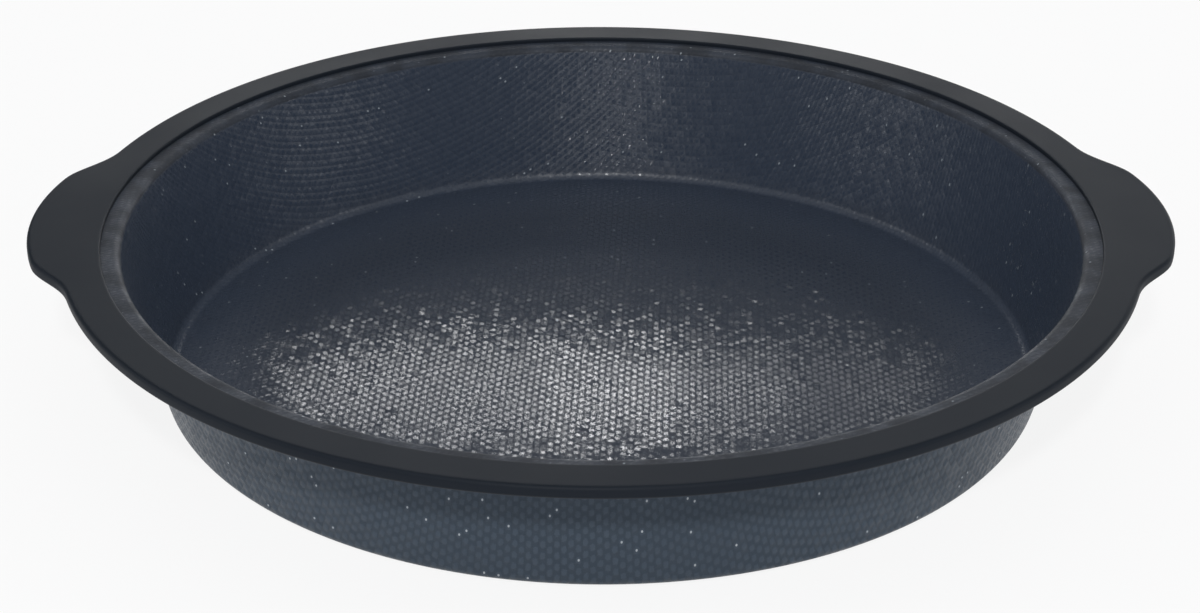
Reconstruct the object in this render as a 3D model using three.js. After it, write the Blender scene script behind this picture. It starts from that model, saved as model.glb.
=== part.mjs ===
// Round baking pan: a dish pressed from woven glass cloth, coated inside with silicone,
// its flange held in a moulded silicone rim with two grips and a steel hoop.
// Millimetres, +Z up. The origin is on the table, under the middle of the base. The grips lie along X.
import * as THREE from "three";
import { mergeVertices } from "three/addons/utils/BufferGeometryUtils.js";

// The dish, measured on its inside surface
const FLOOR_DIAMETER = 222; // where floor and wall would meet without their round
const INSIDE_DEPTH = 37.8; // from the floor to the top of the flange
const WALL_TAPER = 15; // degrees that the wall leans outwards
const FLOOR_ROUND = 2.5; // between floor and wall
const FLANGE_ROUND = 1.8; // between wall and flange

// The laminate that the dish is pressed from
const CLOTH_THICKNESS = 0.8;
const COAT_THICKNESS = 0.3;

// The moulded rim, which grips the flange from above, below and outside
const RIM_WIDTH = 9.9;
const LIP_THICKNESS = 1.1; // silicone above the flange
const SOLE_THICKNESS = 0.8; // silicone below the flange
const FLANGE_SHOWING = 3.1; // flat of the flange that shows inside the lip
const SOLE_SETBACK = 1; // how far the sole's inner edge stays back from the lip's
const EDGE_ROUND = 0.9; // on the rim's outer edge, above and below
const LIP_ROUND = 0.4; // on the lip's inner edge

// The two grips, which swell out of the rim's outer edge
const GRIP_REACH = 8.9; // beyond the rim's circle
const GRIP_WIDTH = 88; // along the rim, from root to root
const GRIP_TIP_WIDTH = 48; // along the rim, between the rounded corners
const GRIP_TIP_RADIUS = 72; // curve of the tip, tighter than the rim's own

// The steel hoop inside the rim, round the flange's edge
const WIRE_DIAMETER = 1.5;
const HOOP_INSET = 4; // from the rim's outer edge to the middle of the wire
const HOOP_CLEARANCE = 0.2; // all round the wire
const FLANGE_CLEARANCE = 0.3; // between the wire and the flange's edge

// Facets
const DISH_FACETS = 72;
const RIM_FACETS = 144;
const DISH_ROUND_STEPS = 4;
const RIM_ROUND_STEPS = 3;
const POCKET_STEPS = 6;
const WIRE_SIDES = 8;

const taper = THREE.MathUtils.degToRad(WALL_TAPER);
const laminate = CLOTH_THICKNESS + COAT_THICKNESS;
const floorZ = laminate;
const flangeZ = floorZ + INSIDE_DEPTH;

// Radius of the wall at a height, on the surface that lies an offset outside the inner one
function wallRadius(z, offset) {
  return FLOOR_DIAMETER / 2 + (z - floorZ) * Math.tan(taper) + offset / Math.cos(taper);
}

// The flange is flat from here outwards, on both of its faces
const flangeFlat = wallRadius(flangeZ, 0) + FLANGE_ROUND * Math.tan((Math.PI / 2 - taper) / 2);
const rimInner = flangeFlat + FLANGE_SHOWING;
const rimOuter = rimInner + RIM_WIDTH;
const rimTop = flangeZ + LIP_THICKNESS;
const rimBottom = flangeZ - laminate - SOLE_THICKNESS;
const hoopRadius = rimOuter - HOOP_INSET;
const hoopZ = flangeZ - laminate / 2;
const pocketRadius = WIRE_DIAMETER / 2 + HOOP_CLEARANCE;
const flangeEdge = hoopRadius - WIRE_DIAMETER / 2 - FLANGE_CLEARANCE;

// A corner of a profile as an arc that touches both of its sides
function roundedCorner(before, corner, after, radius, steps) {
  const toBefore = before.clone().sub(corner).normalize();
  const toAfter = after.clone().sub(corner).normalize();
  const half = toBefore.angleTo(toAfter) / 2;
  const middle = toBefore.clone().add(toAfter).normalize();
  const centre = corner.clone().addScaledVector(middle, radius / Math.sin(half));
  const start = toBefore.clone().multiplyScalar(radius / Math.tan(half)).add(corner).sub(centre);
  const turn = Math.sign(toAfter.cross(toBefore)) * (Math.PI - 2 * half);
  const origin = new THREE.Vector2();
  const arc = [];
  for (let step = 0; step <= steps; step++) {
    arc.push(start.clone().rotateAround(origin, (turn * step) / steps).add(centre));
  }
  return arc;
}

// A profile through corners given as [radius, height] or [radius, height, round]
function roundedProfile(corners, steps) {
  const points = corners.map(([r, z]) => new THREE.Vector2(r, z));
  return corners.flatMap(([, , round], i) =>
    round ? roundedCorner(points[i - 1], points[i], points[i + 1], round, steps) : [points[i]],
  );
}

// A closed solid of revolution about Z
function revolve(profile, facets) {
  const turned = new THREE.LatheGeometry(profile, facets).rotateX(Math.PI / 2);
  turned.deleteAttribute("normal");
  turned.deleteAttribute("uv");
  const solid = mergeVertices(turned);
  solid.computeVertexNormals();
  return solid;
}

// The dish's profile from the axis out to the flange's edge, at an offset outside the inner surface
function dishProfile(offset) {
  const floor = floorZ - offset;
  const flange = flangeZ - offset;
  const corners = [
    [0, floor],
    [wallRadius(floor, offset), floor, FLOOR_ROUND + offset],
    [wallRadius(flange, offset), flange, FLANGE_ROUND - offset],
    [flangeEdge, flange],
  ];
  return roundedProfile(corners, DISH_ROUND_STEPS);
}

// One ply of the laminate, between two offsets from the inner surface
function ply(innerOffset, outerOffset) {
  return revolve([...dishProfile(outerOffset), ...dishProfile(innerOffset).reverse()], DISH_FACETS);
}

// The round pocket that the hoop lies in, from the slot's lower face round to its upper face
function hoopPocket() {
  const mouth = Math.asin(laminate / 2 / pocketRadius);
  const middle = new THREE.Vector2(hoopRadius, hoopZ);
  const arc = [];
  for (let step = 0; step <= POCKET_STEPS; step++) {
    const angle = Math.PI + mouth + ((2 * Math.PI - 2 * mouth) * step) / POCKET_STEPS;
    const spoke = new THREE.Vector2(Math.cos(angle), Math.sin(angle));
    arc.push(spoke.multiplyScalar(pocketRadius).add(middle));
  }
  return arc;
}

// How far a grip stands out of the rim's circle, at a distance along the rim from the grip's middle
function gripReach(distance) {
  const bow = (distance ** 2 / 2) * (1 / GRIP_TIP_RADIUS - 1 / (rimOuter + GRIP_REACH));
  const flank = THREE.MathUtils.smoothstep(distance, GRIP_TIP_WIDTH / 2, GRIP_WIDTH / 2);
  return (GRIP_REACH - bow) * (1 - flank);
}

// The rim: its section turned into a ring, whose outer edge is then drawn out into the grips
function rimGeometry() {
  const soleInner = rimInner + SOLE_SETBACK;
  const corners = [
    [rimInner, flangeZ],
    [rimInner, rimTop, LIP_ROUND],
    [rimOuter, rimTop, EDGE_ROUND],
    [rimOuter, rimBottom, EDGE_ROUND],
    [soleInner, rimBottom],
    [soleInner, flangeZ - laminate],
  ];
  const outside = roundedProfile(corners, RIM_ROUND_STEPS);
  const section = [...outside, ...hoopPocket(), outside[0].clone()].reverse();
  const ring = revolve(section, RIM_FACETS);
  const position = ring.getAttribute("position");
  const edgeStart = (hoopRadius + pocketRadius + rimOuter - EDGE_ROUND) / 2;
  for (let i = 0; i < position.count; i++) {
    const x = position.getX(i);
    const y = position.getY(i);
    const radius = Math.hypot(x, y);
    if (radius < edgeStart) continue;
    const reach = gripReach(rimOuter * Math.atan2(Math.abs(y), Math.abs(x)));
    position.setXY(i, x * (1 + reach / radius), y * (1 + reach / radius));
  }
  ring.computeVertexNormals();
  return ring;
}

function piece(name, geometry, color, roughness, metalness = 0) {
  const mesh = new THREE.Mesh(geometry, new THREE.MeshStandardMaterial({ color, roughness, metalness }));
  mesh.name = name;
  return mesh;
}

const pan = new THREE.Group();
pan.add(piece("woven_shell", ply(COAT_THICKNESS, laminate), 0x414b57, 0.55));
pan.add(piece("inner_coat", ply(0, COAT_THICKNESS), 0x2b333f, 0.45));
pan.add(piece("silicone_rim", rimGeometry(), 0x2c2f33, 0.6));

const hoop = new THREE.TorusGeometry(hoopRadius, WIRE_DIAMETER / 2, WIRE_SIDES, DISH_FACETS);
const rimHoop = piece("rim_hoop", hoop, 0xb9bdc2, 0.3, 1);
rimHoop.position.z = hoopZ;
pan.add(rimHoop);

export default pan;
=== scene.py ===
# Round baking pan of woven glass cloth and silicone: its finished surfaces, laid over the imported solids.
# Metres, +Z up, grips along X. Every piece stands where its solid stands.
import math

import bmesh
import bpy
from mathutils import Matrix, Vector


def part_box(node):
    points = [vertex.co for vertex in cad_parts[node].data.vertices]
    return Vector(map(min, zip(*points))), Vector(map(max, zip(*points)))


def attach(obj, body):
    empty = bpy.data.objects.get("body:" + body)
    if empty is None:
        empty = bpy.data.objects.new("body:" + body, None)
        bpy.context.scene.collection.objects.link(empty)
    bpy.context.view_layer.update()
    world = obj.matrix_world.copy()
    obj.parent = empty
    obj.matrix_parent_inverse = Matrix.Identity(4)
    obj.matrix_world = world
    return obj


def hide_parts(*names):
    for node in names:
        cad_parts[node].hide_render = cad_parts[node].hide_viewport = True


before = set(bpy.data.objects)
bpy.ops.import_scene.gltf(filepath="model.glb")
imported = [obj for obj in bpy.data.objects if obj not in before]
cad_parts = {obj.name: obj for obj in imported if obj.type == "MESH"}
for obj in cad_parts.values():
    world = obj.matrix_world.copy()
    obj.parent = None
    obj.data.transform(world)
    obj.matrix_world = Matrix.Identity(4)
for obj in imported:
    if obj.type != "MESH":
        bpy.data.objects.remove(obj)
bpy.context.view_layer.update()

MM = 0.001

# The dish, as in the solids
FLOOR_RADIUS = 111 * MM  # where floor and wall would meet without their round
WALL_TAPER = math.radians(15)
FLOOR_ROUND = 2.5 * MM
FLANGE_ROUND = 1.8 * MM
COAT_THICKNESS = 0.3 * MM
CLOTH_THICKNESS = 0.8 * MM
LAMINATE = COAT_THICKNESS + CLOTH_THICKNESS

# The rim's section
FLANGE_SHOWING = 3.1 * MM
SOLE_SETBACK = 1 * MM
EDGE_ROUND = 0.9 * MM
LIP_ROUND = 0.4 * MM
HOLD = 0.5 * MM  # a point this far from a round keeps the flat beside it flat when shaded

# The grips
GRIP_WIDTH = 88 * MM
GRIP_TIP_WIDTH = 48 * MM
GRIP_TIP_RADIUS = 72 * MM

# The cloth's yarns
WARP_PITCH = 1.65 * MM
WEFT_PITCH = 1.46 * MM
WARP_ACROSS = math.radians(-3)  # the way from one warp yarn to the next, in plan
WEFT_ACROSS = math.radians(79)
WALL_DRAW = 0.8  # flat cloth that goes into each length of the drawn wall
YARN_DRIFT = 0.7  # how far the yarns wander from their straight lines, in yarns
RIDGE_SHARE = 0.8  # ridges on the drawn wall for each step across both yarns

# The crowns of the weave, in shares of the relief
WARP_CROWN = 0.55  # what the warp yarns give, where the crossings give the rest
RIDGE_CROWN = 0.6  # what the ridges give on the ridged wall, where the crossings give the rest
RIDGE_SINK = 0.35  # how much lower a ridge counts when its shiny crest is found
CROWN_FOOT = 0.22  # a crown rises from here
CROWN_TOP = 0.56  # and is flat from here
FRAY = 0.9  # how far the fibres break up the crowns' outlines
DRAWN_FRAY = 0.25  # the share of that which is left where the cloth is drawn
FLAT_FIBRES = 0.04  # height of the fibres on the flat floor
DRAWN_FIBRES = 0.5  # and where the cloth is drawn
STEADY_LEAN = 0.5  # how far most crowns of the floor lean
LOOSE_LEAN = 1.4  # and the loosest of them
LOOSE_FROM = 0.92  # the draw above which a crown is loose
DRAWN_LEAN = 2.8  # how far the crowns lean where the cloth is drawn
WAVE_HEIGHT = 0.08 * MM  # of the slow waves under the weave

# The coat over the weave
CORNER_FILL = 0.2  # how far it fills the weave in the floor's corner
FLANGE_FILL = 0.6  # and on the flange
FILL_THIN = 0.75  # the fill's share where the coat lies thinnest
FILL_THICK = 1.15  # and where it lies thickest
FILLED_RELIEF = 0.1  # what is left of the relief where the weave is full
FILLED_ROUGHNESS = 0.9
FILLED_PAINTED_SHADE = 0.2  # painted shade: tone where the weave is full, beside that of the open weave, which darkens the flange under the rim and the floor's corner
DRAWN_PAINTED_LIGHT = 1.3  # painted light: the colour is made this much lighter where the cloth is drawn, beside that of the floor
DULL_TONE = 0.6  # the crowns' tone in the cloth's dullest clouds
SHINY_FROM = 0.6  # a crown shines from this height
CROWN_WEAR = 0.04  # how much rougher the most worn crowns are
DRAWN_FLANK_ROUGHNESS = 0.35
GLINT_FROM = 0.85  # a painted glint speck shows from this height
GLINT_TO = 0.95

# Fineness of the patterns, in counts for each yarn
PATCH_SCALE = 0.15
DRIFT_SCALE = 0.06
CLOUD_SCALE = 0.04
FIBRE_SCALE = 5.0

# Parts of a noise's range that are spread over a whole range of looks
NOISE_WIDE = (0.2, 0.8)
NOISE_HALF = (0.25, 0.75)
NOISE_INNER = (0.3, 0.7)
NOISE_CORE = (0.35, 0.65)
NOISE_MIDDLE = (0.5, 0.5, 0.5)

# Fineness of the meshes
DISH_TURN_STEPS = 360
RIM_TURN_STEPS = 540
HOOP_TURN_STEPS = 240
ROUND_STEPS = 12
WALL_STEPS = 8
FLOOR_STEPS = 4
RIM_ROUND_STEPS = 6
WIRE_STEPS = 16
WELD_DISTANCE = 0.001 * MM
SHARP_ANGLE = math.radians(50)  # an edge that turns by more stays sharp when shaded

# The floor and the air of the studio
STAGE_HALF = 3.0
STAGE_DROP = 0.05 * MM  # keeps the floor clear of the pan's base
STAGE_GLOW = 0.87  # share of plain white in the floor that the camera sees, where shadow has the rest
AIR_COLOUR = (0.94, 0.97, 1.0)
AIR_STRENGTH = 0.18
DISC_SHARE = math.pi / 4  # area of an ellipse in that of its box

# The camera, placed by the photograph's view of the rim
PHOTO_WIDTH = 1200
FOCAL_PIXELS = 2615.5
SENSOR_WIDTH = 36
CAMERA_ELEVATION = math.radians(26.72)
CAMERA_AZIMUTH = math.radians(-0.9)
CAMERA_ROLL = math.radians(0.12)
CAMERA_DISTANCE = 0.6755
CAMERA_AIM = Vector((-0.0004, 0, 0.0140))

# Sizes read from the solids
coat_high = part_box("inner_coat")[1]
shell_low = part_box("woven_shell")[0]
rim_low, rim_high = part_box("silicone_rim")
hoop_low, hoop_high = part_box("rim_hoop")
FLOOR_Z = shell_low[2] + LAMINATE
FLANGE_Z = coat_high[2]
FLANGE_EDGE = coat_high[0]
RIM_OUTER = rim_high[1]
RIM_TOP = rim_high[2]
RIM_BOTTOM = rim_low[2]
GRIP_REACH = rim_high[0] - rim_high[1]
WIRE_RADIUS = (hoop_high[2] - hoop_low[2]) / 2
HOOP_RADIUS = hoop_high[0] - WIRE_RADIUS
HOOP_Z = (hoop_high[2] + hoop_low[2]) / 2


# Sections, as points of radius and height

def wall_radius(z, offset):
    """Radius of the wall at a height, on the surface that lies an offset outside the inner one."""
    return FLOOR_RADIUS + (z - FLOOR_Z) * math.tan(WALL_TAPER) + offset / math.cos(WALL_TAPER)


FLANGE_FLAT = wall_radius(FLANGE_Z, 0) + FLANGE_ROUND * math.tan((math.pi / 2 - WALL_TAPER) / 2)


def rounded_corner(before, corner, after, radius, steps):
    """The arc that touches both sides of a corner."""
    to_before = (before - corner).normalized()
    to_after = (after - corner).normalized()
    half = to_before.angle(to_after) / 2
    centre = corner + (to_before + to_after).normalized() * (radius / math.sin(half))
    start = corner + to_before * (radius / math.tan(half)) - centre
    turn = math.copysign(math.pi - 2 * half, to_after.cross(to_before))
    return [Matrix.Rotation(turn * i / steps, 2) @ start + centre for i in range(steps + 1)]


def held_flat(start, end, steps=1):
    """Points between the ends of a straight run, one of them close to each end."""
    along = (end - start).normalized() * HOLD
    first = start + along
    last = end - along
    return [first.lerp(last, i / steps) for i in range(steps + 1)]


def dish_surface(offset):
    """The dish's section from its axis to the flange's edge, on one of its surfaces."""
    floor = FLOOR_Z - offset
    flange = FLANGE_Z - offset
    axis = Vector((0, floor))
    corner = Vector((wall_radius(floor, offset), floor))
    shoulder = Vector((wall_radius(flange, offset), flange))
    edge = Vector((FLANGE_EDGE, flange))
    floor_arc = rounded_corner(axis, corner, shoulder, FLOOR_ROUND + offset, ROUND_STEPS)
    flange_arc = rounded_corner(corner, shoulder, edge, FLANGE_ROUND - offset, ROUND_STEPS)
    base = held_flat(axis, floor_arc[0], FLOOR_STEPS)
    wall = held_flat(floor_arc[-1], flange_arc[0], WALL_STEPS)
    flat = held_flat(flange_arc[-1], edge)
    return [axis, *base, *floor_arc, *wall, *flange_arc, *flat, edge]


def flat_cloth_run(points):
    """How far along the flat cloth each point of the section lies, from the middle of the floor."""
    drawn_from = points[0].y + FLOOR_ROUND / 2
    drawn_to = points[-1].y - FLANGE_ROUND / 2
    run = [0.0]
    for last, point in zip(points, points[1:]):
        drawn = drawn_from < (last.y + point.y) / 2 < drawn_to
        run.append(run[-1] + (point - last).length * (WALL_DRAW if drawn else 1))
    return run


def coat_fill(points):
    """How far the coat fills the weave at each point of the section."""
    fill = []
    for point in points:
        on_flange = point.y > FLANGE_Z - FLANGE_ROUND
        in_corner = abs(point.x - FLOOR_RADIUS) < FLOOR_ROUND and point.y < FLOOR_Z + FLOOR_ROUND
        fill.append(FLANGE_FILL if on_flange else CORNER_FILL if in_corner else 0.0)
    return fill


def no_fill(points):
    """The cloth's outer face has no coat."""
    return [0.0] * len(points)


def drawn_cloth(points):
    """Where the press has drawn the cloth, which leaves its crowns rounder than on the flat floor."""
    return [1.0 if point.x > FLOOR_RADIUS - FLOOR_ROUND else 0.0 for point in points]


def rim_section():
    """The rim's section round to its start, and for each point whether the grips draw it out."""
    rim_inner = FLANGE_FLAT + FLANGE_SHOWING
    sole_inner = rim_inner + SOLE_SETBACK
    flange_foot = FLANGE_Z - LAMINATE
    slot_end = HOOP_RADIUS - WIRE_RADIUS
    lip_foot = Vector((rim_inner, FLANGE_Z))
    lip_top = Vector((rim_inner, RIM_TOP))
    edge_top = Vector((RIM_OUTER, RIM_TOP))
    edge_foot = Vector((RIM_OUTER, RIM_BOTTOM))
    sole_foot = Vector((sole_inner, RIM_BOTTOM))
    sole_top = Vector((sole_inner, flange_foot))
    lip = rounded_corner(lip_foot, lip_top, edge_top, LIP_ROUND, RIM_ROUND_STEPS)
    over = rounded_corner(lip_top, edge_top, edge_foot, EDGE_ROUND, RIM_ROUND_STEPS)
    under = rounded_corner(edge_top, edge_foot, sole_foot, EDGE_ROUND, RIM_ROUND_STEPS)
    top_start, top_end = held_flat(lip[-1], over[0])
    foot_start, foot_end = held_flat(under[-1], sole_foot)
    slot = [Vector((slot_end, flange_foot)), Vector((slot_end, FLANGE_Z))]
    inside = [sole_foot, sole_top, *slot, lip_foot, *lip, top_start]
    outside = [top_end, *over, *under, foot_start]
    points = [*inside, *outside, foot_end]
    return points, [0.0] * len(inside) + [1.0] * len(outside) + [0.0]


def wire_section():
    turns = [2 * math.pi * i / WIRE_STEPS for i in range(WIRE_STEPS)]
    centre = Vector((HOOP_RADIUS, HOOP_Z))
    return [centre + WIRE_RADIUS * Vector((math.cos(turn), math.sin(turn))) for turn in turns]


# Node trees

class Tree:
    """Adds and links the nodes of one tree."""

    def __init__(self, tree):
        self.tree = tree

    def put(self, value, socket):
        if isinstance(value, bpy.types.NodeSocket):
            self.tree.links.new(value, socket)
        else:
            socket.default_value = value

    def add(self, kind, inputs=(), **settings):
        node = self.tree.nodes.new(kind)
        for key, value in settings.items():
            setattr(node, key, value)
        for key, value in dict(inputs).items():
            self.put(value, node.inputs[key])
        return node

    def math(self, operation, *values):
        return self.add("ShaderNodeMath", enumerate(values), operation=operation).outputs[0]

    def vector(self, operation, *values):
        return self.add("ShaderNodeVectorMath", enumerate(values), operation=operation).outputs[0]

    def dot(self, first, second):
        inputs = {0: first, 1: second}
        return self.add("ShaderNodeVectorMath", inputs, operation="DOT_PRODUCT").outputs["Value"]

    def scaled(self, vector, factor):
        inputs = {"Vector": vector, "Scale": factor}
        return self.add("ShaderNodeVectorMath", inputs, operation="SCALE").outputs[0]

    def split(self, vector):
        return self.add("ShaderNodeSeparateXYZ", {"Vector": vector}).outputs

    def smooth(self, value, low, high, to_low=0.0, to_high=1.0):
        """A value eased from one range to another."""
        inputs = {"Value": value, "From Min": low, "From Max": high, "To Min": to_low, "To Max": to_high}
        return self.add("ShaderNodeMapRange", inputs, interpolation_type="SMOOTHSTEP").outputs[0]


# Geometry trees: each turns a section round the pan's axis

class TurnedTree(Tree):
    """A tree that sweeps the section it is given round a circle."""

    def __init__(self, name, sizes):
        super().__init__(bpy.data.node_groups.new(name, "GeometryNodeTree"))
        sockets = self.tree.interface
        sockets.new_socket("Geometry", in_out="OUTPUT", socket_type="NodeSocketGeometry")
        sockets.new_socket("Section", in_out="INPUT", socket_type="NodeSocketGeometry")
        sockets.new_socket("Turn Steps", in_out="INPUT", socket_type="NodeSocketInt")
        sockets.new_socket("Path Radius", in_out="INPUT", socket_type="NodeSocketFloat")
        sockets.new_socket("Finish", in_out="INPUT", socket_type="NodeSocketMaterial")
        for size in sizes:
            sockets.new_socket(size, in_out="INPUT", socket_type="NodeSocketFloat")
        self.given = self.add("NodeGroupInput").outputs
        path = {"Resolution": self.given["Turn Steps"], "Radius": self.given["Path Radius"]}
        circle = self.add("GeometryNodeCurvePrimitiveCircle", path).outputs[0]
        section = self.add("GeometryNodeMeshToCurve", {"Mesh": self.given["Section"]}).outputs[0]
        sweep = {"Curve": circle, "Profile Curve": section}
        swept = self.add("GeometryNodeCurveToMesh", sweep).outputs[0]
        weld = {"Geometry": swept, "Distance": WELD_DISTANCE}
        self.shape = self.add("GeometryNodeMergeByDistance", weld).outputs[0]
        self.place = self.add("GeometryNodeInputPosition").outputs[0]

    def outwards(self):
        """The level direction away from the pan's axis."""
        return self.vector("NORMALIZE", self.vector("MULTIPLY", self.place, (1, 1, 0)))

    def section_value(self, name):
        """A number that the section's points carry."""
        return self.add("GeometryNodeInputNamedAttribute", {"Name": name}, data_type="FLOAT").outputs[0]

    def close(self):
        shape = self.add("GeometryNodeRealizeInstances", {"Geometry": self.shape}).outputs[0]
        finish = {"Geometry": shape, "Material": self.given["Finish"]}
        dressed = self.add("GeometryNodeSetMaterial", finish).outputs[0]
        self.add("NodeGroupOutput", {"Geometry": dressed})
        return self.tree


def hoop_tree():
    return TurnedTree("turned_hoop", []).close()


def ply_tree():
    """A turned ply whose points also carry their place on the flat cloth."""
    tree = TurnedTree("turned_ply", [])
    cloth = tree.scaled(tree.outwards(), tree.section_value("cloth_run"))
    kept = {"Geometry": tree.shape, "Name": "flat_cloth", "Value": cloth}
    tree.shape = tree.add("GeometryNodeStoreNamedAttribute", kept, data_type="FLOAT_VECTOR").outputs[0]
    return tree.close()


def rim_tree():
    """A turned rim whose outer edge is drawn out into a grip at each end of the X axis."""
    sizes = ["Outer Radius", "Grip Reach", "Grip Width", "Tip Width", "Tip Radius"]
    tree = TurnedTree("turned_rim", sizes)
    given = tree.given
    place = tree.split(tree.place)
    angle = tree.math("ARCTAN2", tree.math("ABSOLUTE", place["Y"]), tree.math("ABSOLUTE", place["X"]))
    distance = tree.math("MULTIPLY", angle, given["Outer Radius"])
    far_radius = tree.math("ADD", given["Outer Radius"], given["Grip Reach"])
    tip_curve = tree.math("DIVIDE", 0.5, given["Tip Radius"])
    rim_curve = tree.math("DIVIDE", 0.5, far_radius)
    curve = tree.math("SUBTRACT", tip_curve, rim_curve)
    bow = tree.math("MULTIPLY", tree.math("POWER", distance, 2.0), curve)
    half_tip = tree.math("DIVIDE", given["Tip Width"], 2.0)
    half_grip = tree.math("DIVIDE", given["Grip Width"], 2.0)
    stay = tree.smooth(distance, half_tip, half_grip, 1.0, 0.0)
    reach = tree.math("MULTIPLY", tree.math("SUBTRACT", given["Grip Reach"], bow), stay)
    reach = tree.math("MULTIPLY", reach, tree.section_value("drawn_out"))
    moved = {"Geometry": tree.shape, "Offset": tree.scaled(tree.outwards(), reach)}
    tree.shape = tree.add("GeometryNodeSetPosition", moved).outputs[0]
    return tree.close()


def section_line(name, section, closed, path_radius, carried):
    """A section as a mesh of edges, in the plane that the sweep takes it in."""
    line = bpy.data.meshes.new(name)
    count = len(section)
    edges = [(i, i + 1) for i in range(count - 1)]
    if closed:
        edges.append((count - 1, 0))
    line.from_pydata([(point.x - path_radius, -point.y, 0) for point in section], edges, [])
    for key, numbers in carried.items():
        line.attributes.new(key, "FLOAT", "POINT").data.foreach_set("value", numbers)
    return line


def face_outwards(mesh):
    shell = bmesh.new()
    shell.from_mesh(mesh)
    bmesh.ops.recalc_face_normals(shell, faces=shell.faces)
    shell.to_mesh(mesh)
    shell.free()


def turned_piece(name, tree, section, closed, values, carried):
    """Runs a tree on a section and keeps the result as a plain mesh."""
    line = section_line(name + "_section", section, closed, values["Path Radius"], carried)
    piece = bpy.data.objects.new(name, line)
    bpy.context.scene.collection.objects.link(piece)
    modifier = piece.modifiers.new("turned", "NODES")
    modifier.node_group = tree
    for socket in tree.interface.items_tree:
        if socket.name in values:
            modifier[socket.identifier] = values[socket.name]
    bpy.context.view_layer.update()
    graph = bpy.context.evaluated_depsgraph_get()
    mesh = bpy.data.meshes.new_from_object(piece.evaluated_get(graph))
    piece.modifiers.clear()
    piece.data = mesh
    mesh.name = name
    face_outwards(mesh)
    mesh.polygons.foreach_set("use_smooth", [True] * len(mesh.polygons))
    mesh.set_sharp_from_angle(angle=SHARP_ANGLE)
    return piece


# Finishes

def colour(red, green, blue):
    return (red, green, blue, 1)


class Finish(Tree):
    """A material's nodes round its one shader."""

    def __init__(self, name):
        self.material = bpy.data.materials.new(name)
        self.material.use_nodes = True
        super().__init__(self.material.node_tree)
        self.shader = self.tree.nodes["Principled BSDF"]

    def set(self, **values):
        for name, value in values.items():
            self.put(value, self.shader.inputs[name.replace("_", " ")])

    def carried(self, name, output):
        """A value that the piece's points carry."""
        return self.add("ShaderNodeAttribute", attribute_name=name).outputs[output]

    def blend(self, factor, first, second):
        return self.add("ShaderNodeMix", {0: factor, 2: first, 3: second}).outputs[0]

    def mix(self, factor, first, second):
        """A blend of two colours."""
        inputs = {0: factor, 6: first, 7: second}
        return self.add("ShaderNodeMix", inputs, data_type="RGBA").outputs[2]

    def eased(self, factor, at_none, at_full):
        """A value that goes from one end to the other as a factor goes from 0 to 1."""
        return self.smooth(factor, 0.0, 1.0, at_none, at_full)

    def wave(self, count):
        """A sine that crosses zero at each whole count."""
        return self.math("SINE", self.math("MULTIPLY", count, math.pi))

    def noise(self, place, scale, detail):
        inputs = {"Vector": place, "Scale": scale, "Detail": detail}
        return self.add("ShaderNodeTexNoise", inputs).outputs

    def bump(self, height, distance, under=None):
        node = self.add("ShaderNodeBump", {"Height": height, "Distance": distance, "Strength": 1.0})
        if under:
            self.put(under, node.inputs["Normal"])
        return node.outputs[0]


def yarn_step(pitch, across):
    """Turns a place on the flat cloth, in metres, into a count of yarns."""
    return (math.cos(across) / pitch, math.sin(across) / pitch, 0)


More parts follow.
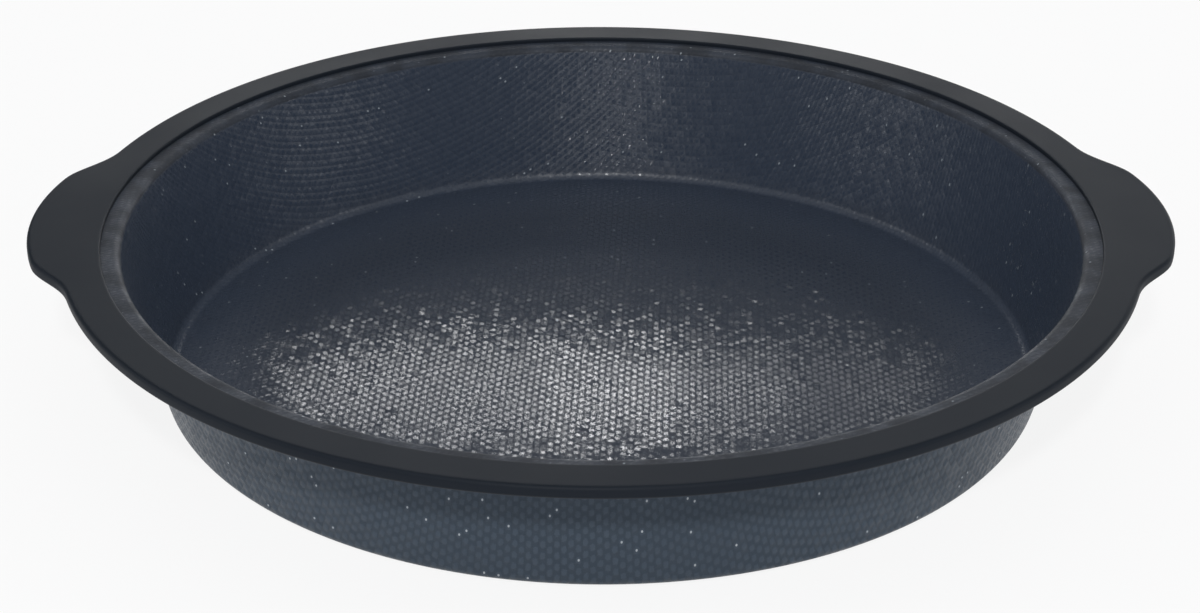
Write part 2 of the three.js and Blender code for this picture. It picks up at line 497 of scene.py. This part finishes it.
class WovenFinish(Finish):
    """Silicone over a plain weave: shiny crowns and matt pits, pressed flat on the floor."""

    def __init__(self, name, ridged):
        super().__init__(name)
        self.drawn = self.carried("drawn", "Fac")
        straight = self.straight_yarns()
        patches = self.noise(straight, PATCH_SCALE, detail=2.0)[0]
        patches = self.smooth(patches, *NOISE_CORE, FILL_THIN, FILL_THICK)
        self.filled = self.math("MULTIPLY", self.carried("filled", "Fac"), patches)
        drift = self.noise(straight, DRIFT_SCALE, detail=2.0)["Color"]
        drift = self.vector("SUBTRACT", drift, NOISE_MIDDLE)
        self.yarns = self.vector("ADD", straight, self.scaled(drift, YARN_DRIFT))
        self.fibres = self.noise(self.yarns, FIBRE_SCALE, detail=1.0)[0]
        self.cloud = self.noise(self.yarns, CLOUD_SCALE, detail=3.0)[0]
        self.weave(ridged)
        self.draw_crossings()

    def straight_yarns(self):
        """The place on the flat cloth as counts of warp and weft yarns."""
        flat = self.carried("flat_cloth", "Vector")
        warp = self.dot(flat, yarn_step(WARP_PITCH, WARP_ACROSS))
        weft = self.dot(flat, yarn_step(WEFT_PITCH, WEFT_ACROSS))
        return self.add("ShaderNodeCombineXYZ", {"X": warp, "Y": weft}).outputs[0]

    def weave(self, ridged):
        """Finds the crests of the weave, and the crowns that show on them."""
        count = self.split(self.yarns)
        across = self.wave(count["X"])
        along = self.wave(count["Y"])
        checker = self.math("MULTIPLY", across, along)
        warp_yarns = self.math("MULTIPLY", self.math("ABSOLUTE", across), WARP_CROWN)
        pressed = self.math("MULTIPLY_ADD", checker, 1 - WARP_CROWN, warp_yarns)
        self.crests = pressed
        raised = pressed
        if ridged:
            rise = self.math("SUBTRACT", count["Y"], count["X"])
            ridges = self.math("ABSOLUTE", self.wave(self.math("MULTIPLY", rise, RIDGE_SHARE)))
            crossings = self.math("MULTIPLY", self.math("ABSOLUTE", checker), 1 - RIDGE_CROWN)
            self.crests = self.math("MULTIPLY_ADD", ridges, RIDGE_CROWN, crossings)
            raised = self.math("SUBTRACT", self.crests, RIDGE_SINK)
        self.crest_line = self.blend(self.drawn, pressed, self.crests)
        woven = self.blend(self.drawn, pressed, raised)
        fray = self.smooth(self.fibres, *NOISE_WIDE, -FRAY, FRAY)
        frayed = self.math("MULTIPLY_ADD", fray, self.eased(self.drawn, 1.0, DRAWN_FRAY), woven)
        self.crowns = self.smooth(frayed, CROWN_FOOT, CROWN_TOP)

    def draw_crossings(self):
        """Draws for each crossing how it leans, how worn it is and which ones are picked."""
        cell = {"Vector": self.vector("FLOOR", self.yarns)}
        chance = self.add("ShaderNodeTexWhiteNoise", cell, noise_dimensions="2D").outputs["Color"]
        draws = self.split(chance)
        self.wear = draws["X"]
        self.pick = draws["Z"]
        inside = self.vector("SUBTRACT", self.vector("FRACTION", self.yarns), NOISE_MIDDLE)
        self.lean = self.dot(inside, self.vector("SUBTRACT", chance, NOISE_MIDDLE))

    def relief(self, depth):
        """The surface over the crowns: flat ones on the floor, domes where the cloth is drawn."""
        loose = self.smooth(self.pick, LOOSE_FROM, 1.0, STEADY_LEAN, LOOSE_LEAN)
        tilt = self.math("MULTIPLY_ADD", self.lean, loose, 1.0)
        flattened = self.math("MULTIPLY", self.crowns, tilt)
        flattened = self.math("MULTIPLY_ADD", self.fibres, FLAT_FIBRES, flattened)
        domed = self.math("MULTIPLY_ADD", self.lean, DRAWN_LEAN, self.crests)
        domed = self.math("MULTIPLY_ADD", self.fibres, DRAWN_FIBRES, domed)
        height = self.blend(self.drawn, flattened, domed)
        height = self.math("MULTIPLY", height, self.eased(self.filled, 1.0, FILLED_RELIEF))
        return self.bump(height, depth, self.bump(self.cloud, WAVE_HEIGHT))

    def tones(self, pit, crown, painted_glint, floor_glint_share, drawn_glint_share):
        """The cloth's colour, with painted glints: light specks on a share of the crossings that stand in
        for the glints of bare fibre.
        """
        clouds = self.smooth(self.cloud, *NOISE_HALF, DULL_TONE, 1.0)
        cloth = self.mix(self.math("MULTIPLY", self.crowns, clouds), pit, crown)
        # Painted light: the drawn wall, corner and flange are coloured lighter than the floor
        cloth = self.scaled(cloth, self.eased(self.drawn, 1.0, DRAWN_PAINTED_LIGHT))
        # Painted shade: the colour is darker where the coat fills the weave, on the flange under the rim
        # and in the floor's corner
        cloth = self.scaled(cloth, self.eased(self.filled, 1.0, FILLED_PAINTED_SHADE))
        # Painted glints: light specks in the base colour on a share of the crossings, in place of the
        # glints of bare fibre
        glint_spot = self.smooth(self.crest_line, GLINT_FROM, GLINT_TO)
        glinting = self.math("LESS_THAN", self.pick, self.eased(self.drawn, floor_glint_share, drawn_glint_share))
        return self.mix(self.math("MULTIPLY", glint_spot, glinting), cloth, painted_glint)

    def shine(self, crown_roughness, pit_roughness):
        """Roughness: least on the crowns, more on their flanks."""
        worn = self.math("MULTIPLY_ADD", self.wear, CROWN_WEAR, crown_roughness)
        flank = self.eased(self.drawn, pit_roughness, DRAWN_FLANK_ROUGHNESS)
        rough = self.blend(self.smooth(self.crowns, SHINY_FROM, 1.0), flank, worn)
        return self.blend(self.filled, rough, FILLED_ROUGHNESS)


def release_coat():
    nodes = WovenFinish("release_coat", ridged=True)
    tones = nodes.tones(
        pit=colour(0.0215, 0.0300, 0.0475),
        crown=colour(0.0255, 0.0350, 0.0540),
        # painted glint: the specks' light colour stands in for glints of bare fibre
        painted_glint=colour(0.25, 0.28, 0.31),
        floor_glint_share=0.02,
        drawn_glint_share=0.04,
    )
    nodes.set(
        Base_Color=tones,
        Roughness=nodes.shine(crown_roughness=0.04, pit_roughness=0.75),
        Normal=nodes.relief(depth=0.06 * MM),
        Specular_IOR_Level=0.5,
    )
    return nodes.material


def outer_cloth():
    nodes = WovenFinish("woven_cloth", ridged=False)
    tones = nodes.tones(
        pit=colour(0.0360, 0.0490, 0.0665),
        crown=colour(0.0520, 0.0690, 0.0915),
        # painted glint: the specks' light colour stands in for glints of bare fibre
        painted_glint=colour(0.45, 0.48, 0.51),
        floor_glint_share=0.045,
        drawn_glint_share=0.045,
    )
    nodes.set(
        Base_Color=tones,
        Roughness=nodes.shine(crown_roughness=0.45, pit_roughness=0.6),
        Normal=nodes.relief(depth=0.09 * MM),
        Specular_IOR_Level=0.09,
    )
    return nodes.material


def rim_silicone():
    nodes = Finish("rim_silicone")
    place = nodes.add("ShaderNodeTexCoord").outputs["Object"]
    grain = nodes.noise(place, scale=2600.0, detail=3.0)[0]
    cloud = nodes.noise(place, scale=22.0, detail=3.0)[0]
    dark = colour(0.0078, 0.0115, 0.0175)
    light = colour(0.0098, 0.0135, 0.0200)
    nodes.set(
        Base_Color=nodes.mix(nodes.smooth(cloud, *NOISE_INNER), dark, light),
        Roughness=nodes.smooth(cloud, *NOISE_HALF, 0.50, 0.60),
        Normal=nodes.bump(grain, distance=0.008 * MM),
        Specular_IOR_Level=0.13,
    )
    return nodes.material


def hoop_steel():
    nodes = Finish("hoop_steel")
    place = nodes.add("ShaderNodeTexCoord").outputs["Object"]
    streak = nodes.noise(place, scale=900.0, detail=4.0)[0]
    nodes.set(
        Base_Color=colour(0.55, 0.56, 0.57),
        Metallic=1.0,
        Roughness=nodes.smooth(streak, *NOISE_WIDE, 0.25, 0.4),
    )
    return nodes.material


# Pieces

def add_piece(piece, node):
    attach(piece, "root")
    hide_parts(node)


def dish_ply(name, inner_offset, outer_offset, finish, fill):
    """One ply of the dish as a closed shell."""
    outer = dish_surface(outer_offset)
    inner = dish_surface(inner_offset)
    section = outer + inner[::-1]
    run = flat_cloth_run(outer) + flat_cloth_run(inner)[::-1]
    values = {"Turn Steps": DISH_TURN_STEPS, "Path Radius": FLANGE_EDGE, "Finish": finish}
    carried = {"cloth_run": run, "filled": fill(section), "drawn": drawn_cloth(section)}
    return turned_piece(name, ply_tree(), section, False, values, carried)


def moulded_rim():
    section, drawn_out = rim_section()
    values = {
        "Turn Steps": RIM_TURN_STEPS,
        "Path Radius": HOOP_RADIUS,
        "Finish": rim_silicone(),
        "Outer Radius": RIM_OUTER,
        "Grip Reach": GRIP_REACH,
        "Grip Width": GRIP_WIDTH,
        "Tip Width": GRIP_TIP_WIDTH,
        "Tip Radius": GRIP_TIP_RADIUS,
    }
    return turned_piece("moulded_rim", rim_tree(), section, True, values, {"drawn_out": drawn_out})


def hoop_wire():
    values = {"Turn Steps": HOOP_TURN_STEPS, "Path Radius": HOOP_RADIUS, "Finish": hoop_steel()}
    return turned_piece("hoop_wire", hoop_tree(), wire_section(), True, values, {})


coat_skin = dish_ply("coat_skin", 0, COAT_THICKNESS, release_coat(), coat_fill)
add_piece(coat_skin, "inner_coat")
cloth_dish = dish_ply("cloth_dish", COAT_THICKNESS, LAMINATE, outer_cloth(), no_fill)
add_piece(cloth_dish, "woven_shell")
add_piece(moulded_rim(), "silicone_rim")
add_piece(hoop_wire(), "rim_hoop")


# Floor, lights and camera

def pale_floor():
    """A floor that shows white, with some of the pan's shadow on it."""
    corners = [(-STAGE_HALF, -STAGE_HALF), (STAGE_HALF, -STAGE_HALF), (STAGE_HALF, STAGE_HALF),
               (-STAGE_HALF, STAGE_HALF)]
    mesh = bpy.data.meshes.new("floor")
    mesh.from_pydata([(x, y, 0) for x, y in corners], [], [(0, 1, 2, 3)])
    nodes = Finish("pale_floor")
    nodes.set(Base_Color=colour(0.86, 0.86, 0.87), Roughness=0.9, Specular_IOR_Level=0.1)
    path = nodes.add("ShaderNodeLightPath").outputs
    seen = nodes.math("MAXIMUM", path["Is Camera Ray"], path["Is Glossy Ray"])
    seen = nodes.math("MAXIMUM", seen, path["Is Transmission Ray"])
    glow = nodes.add("ShaderNodeEmission", {"Color": colour(1, 1, 1), "Strength": 1.0}).outputs[0]
    share = nodes.math("MULTIPLY", seen, STAGE_GLOW)
    shown = nodes.add("ShaderNodeMixShader", {0: share, 1: nodes.shader.outputs[0], 2: glow}).outputs[0]
    nodes.put(shown, nodes.tree.nodes["Material Output"].inputs["Surface"])
    mesh.materials.append(nodes.material)
    floor = bpy.data.objects.new("floor", mesh)
    floor.location.z = -STAGE_DROP
    bpy.context.scene.collection.objects.link(floor)


def in_view_frame(x, y, z):
    """A place given with Y along the camera's view, in the pan's own frame."""
    return Matrix.Rotation(CAMERA_AZIMUTH, 3, "Z") @ Vector((x, y, z))


def softbox(name, place, aim, width, height, radiance, shape="RECTANGLE"):
    light = bpy.data.lights.new(name, "AREA")
    light.shape = shape
    light.size = width
    light.size_y = height
    light.energy = radiance * math.pi * width * height
    if shape == "ELLIPSE":
        light.energy *= DISC_SHARE
    lamp = bpy.data.objects.new(name, light)
    lamp.location = in_view_frame(*place)
    lamp.rotation_euler = (in_view_frame(*aim) - lamp.location).to_track_quat("-Z", "Y").to_euler()
    lamp.visible_camera = False
    bpy.context.scene.collection.objects.link(lamp)


def back_panel(name, x, y, z, width, height, radiance, shape="ELLIPSE"):
    """A panel behind the pan that faces straight forwards, for the shine on the floor of the pan."""
    softbox(name, (x, y, z), (x, 0, z), width, height, radiance, shape)


def studio():
    softbox("top_softbox", (0, 0.05, 1.15), aim=(0, 0, 0), width=1.6, height=1.6, radiance=0.45)
    softbox("left_fill", (-1.1, -0.1, 0.5), aim=(0, 0, 0.02), width=0.8, height=0.7, radiance=1.7)
    softbox("right_fill", (1.1, -0.1, 0.5), aim=(0, 0, 0.02), width=0.8, height=0.7, radiance=1.6)
    back_panel("low_backdrop", 0.3, 0.95, 0.165, width=1.4, height=0.33, radiance=2.8, shape="RECTANGLE")
    back_panel("back_panel", 0.015, 0.70, 0.397, width=0.42, height=0.080, radiance=1.6)
    back_panel("back_panel_left", -0.066, 0.699, 0.398, width=0.25, height=0.080, radiance=1.6)
    back_panel("back_panel_wide", -0.040, 0.6985, 0.396, width=0.30, height=0.084, radiance=2.2)
    back_panel("back_panel_middle", 0.005, 0.698, 0.397, width=0.08, height=0.05, radiance=2.8,
               shape="RECTANGLE")
    softbox("front_glint", (-0.10, -1.45, 0.27), aim=(0, 0, 0.03), width=0.04, height=0.04, radiance=225)
    softbox("front_key", (-0.05, -1.19, 1.07), aim=(0, 0, 0), width=0.12, height=0.12, radiance=255)


def studio_air():
    world = bpy.data.worlds.new("studio_air")
    bpy.context.scene.world = world
    world.use_nodes = True
    air = world.node_tree.nodes["Background"]
    air.inputs["Color"].default_value = colour(*AIR_COLOUR)
    air.inputs["Strength"].default_value = AIR_STRENGTH
    bpy.context.scene.view_settings.view_transform = "Standard"


def camera():
    level = in_view_frame(1, 0, 0)
    back = in_view_frame(0, -math.cos(CAMERA_ELEVATION), math.sin(CAMERA_ELEVATION))
    upright = back.cross(level)
    right = level * math.cos(CAMERA_ROLL) + upright * math.sin(CAMERA_ROLL)
    up = back.cross(right)
    data = bpy.data.cameras.new("camera")
    data.sensor_width = SENSOR_WIDTH
    data.lens = SENSOR_WIDTH * FOCAL_PIXELS / PHOTO_WIDTH
    viewer = bpy.data.objects.new("camera", data)
    turn = Matrix((right, up, back)).transposed().to_4x4()
    viewer.matrix_world = Matrix.Translation(CAMERA_AIM + back * CAMERA_DISTANCE) @ turn
    bpy.context.scene.collection.objects.link(viewer)
    bpy.context.scene.camera = viewer


pale_floor()
studio()
studio_air()
camera()
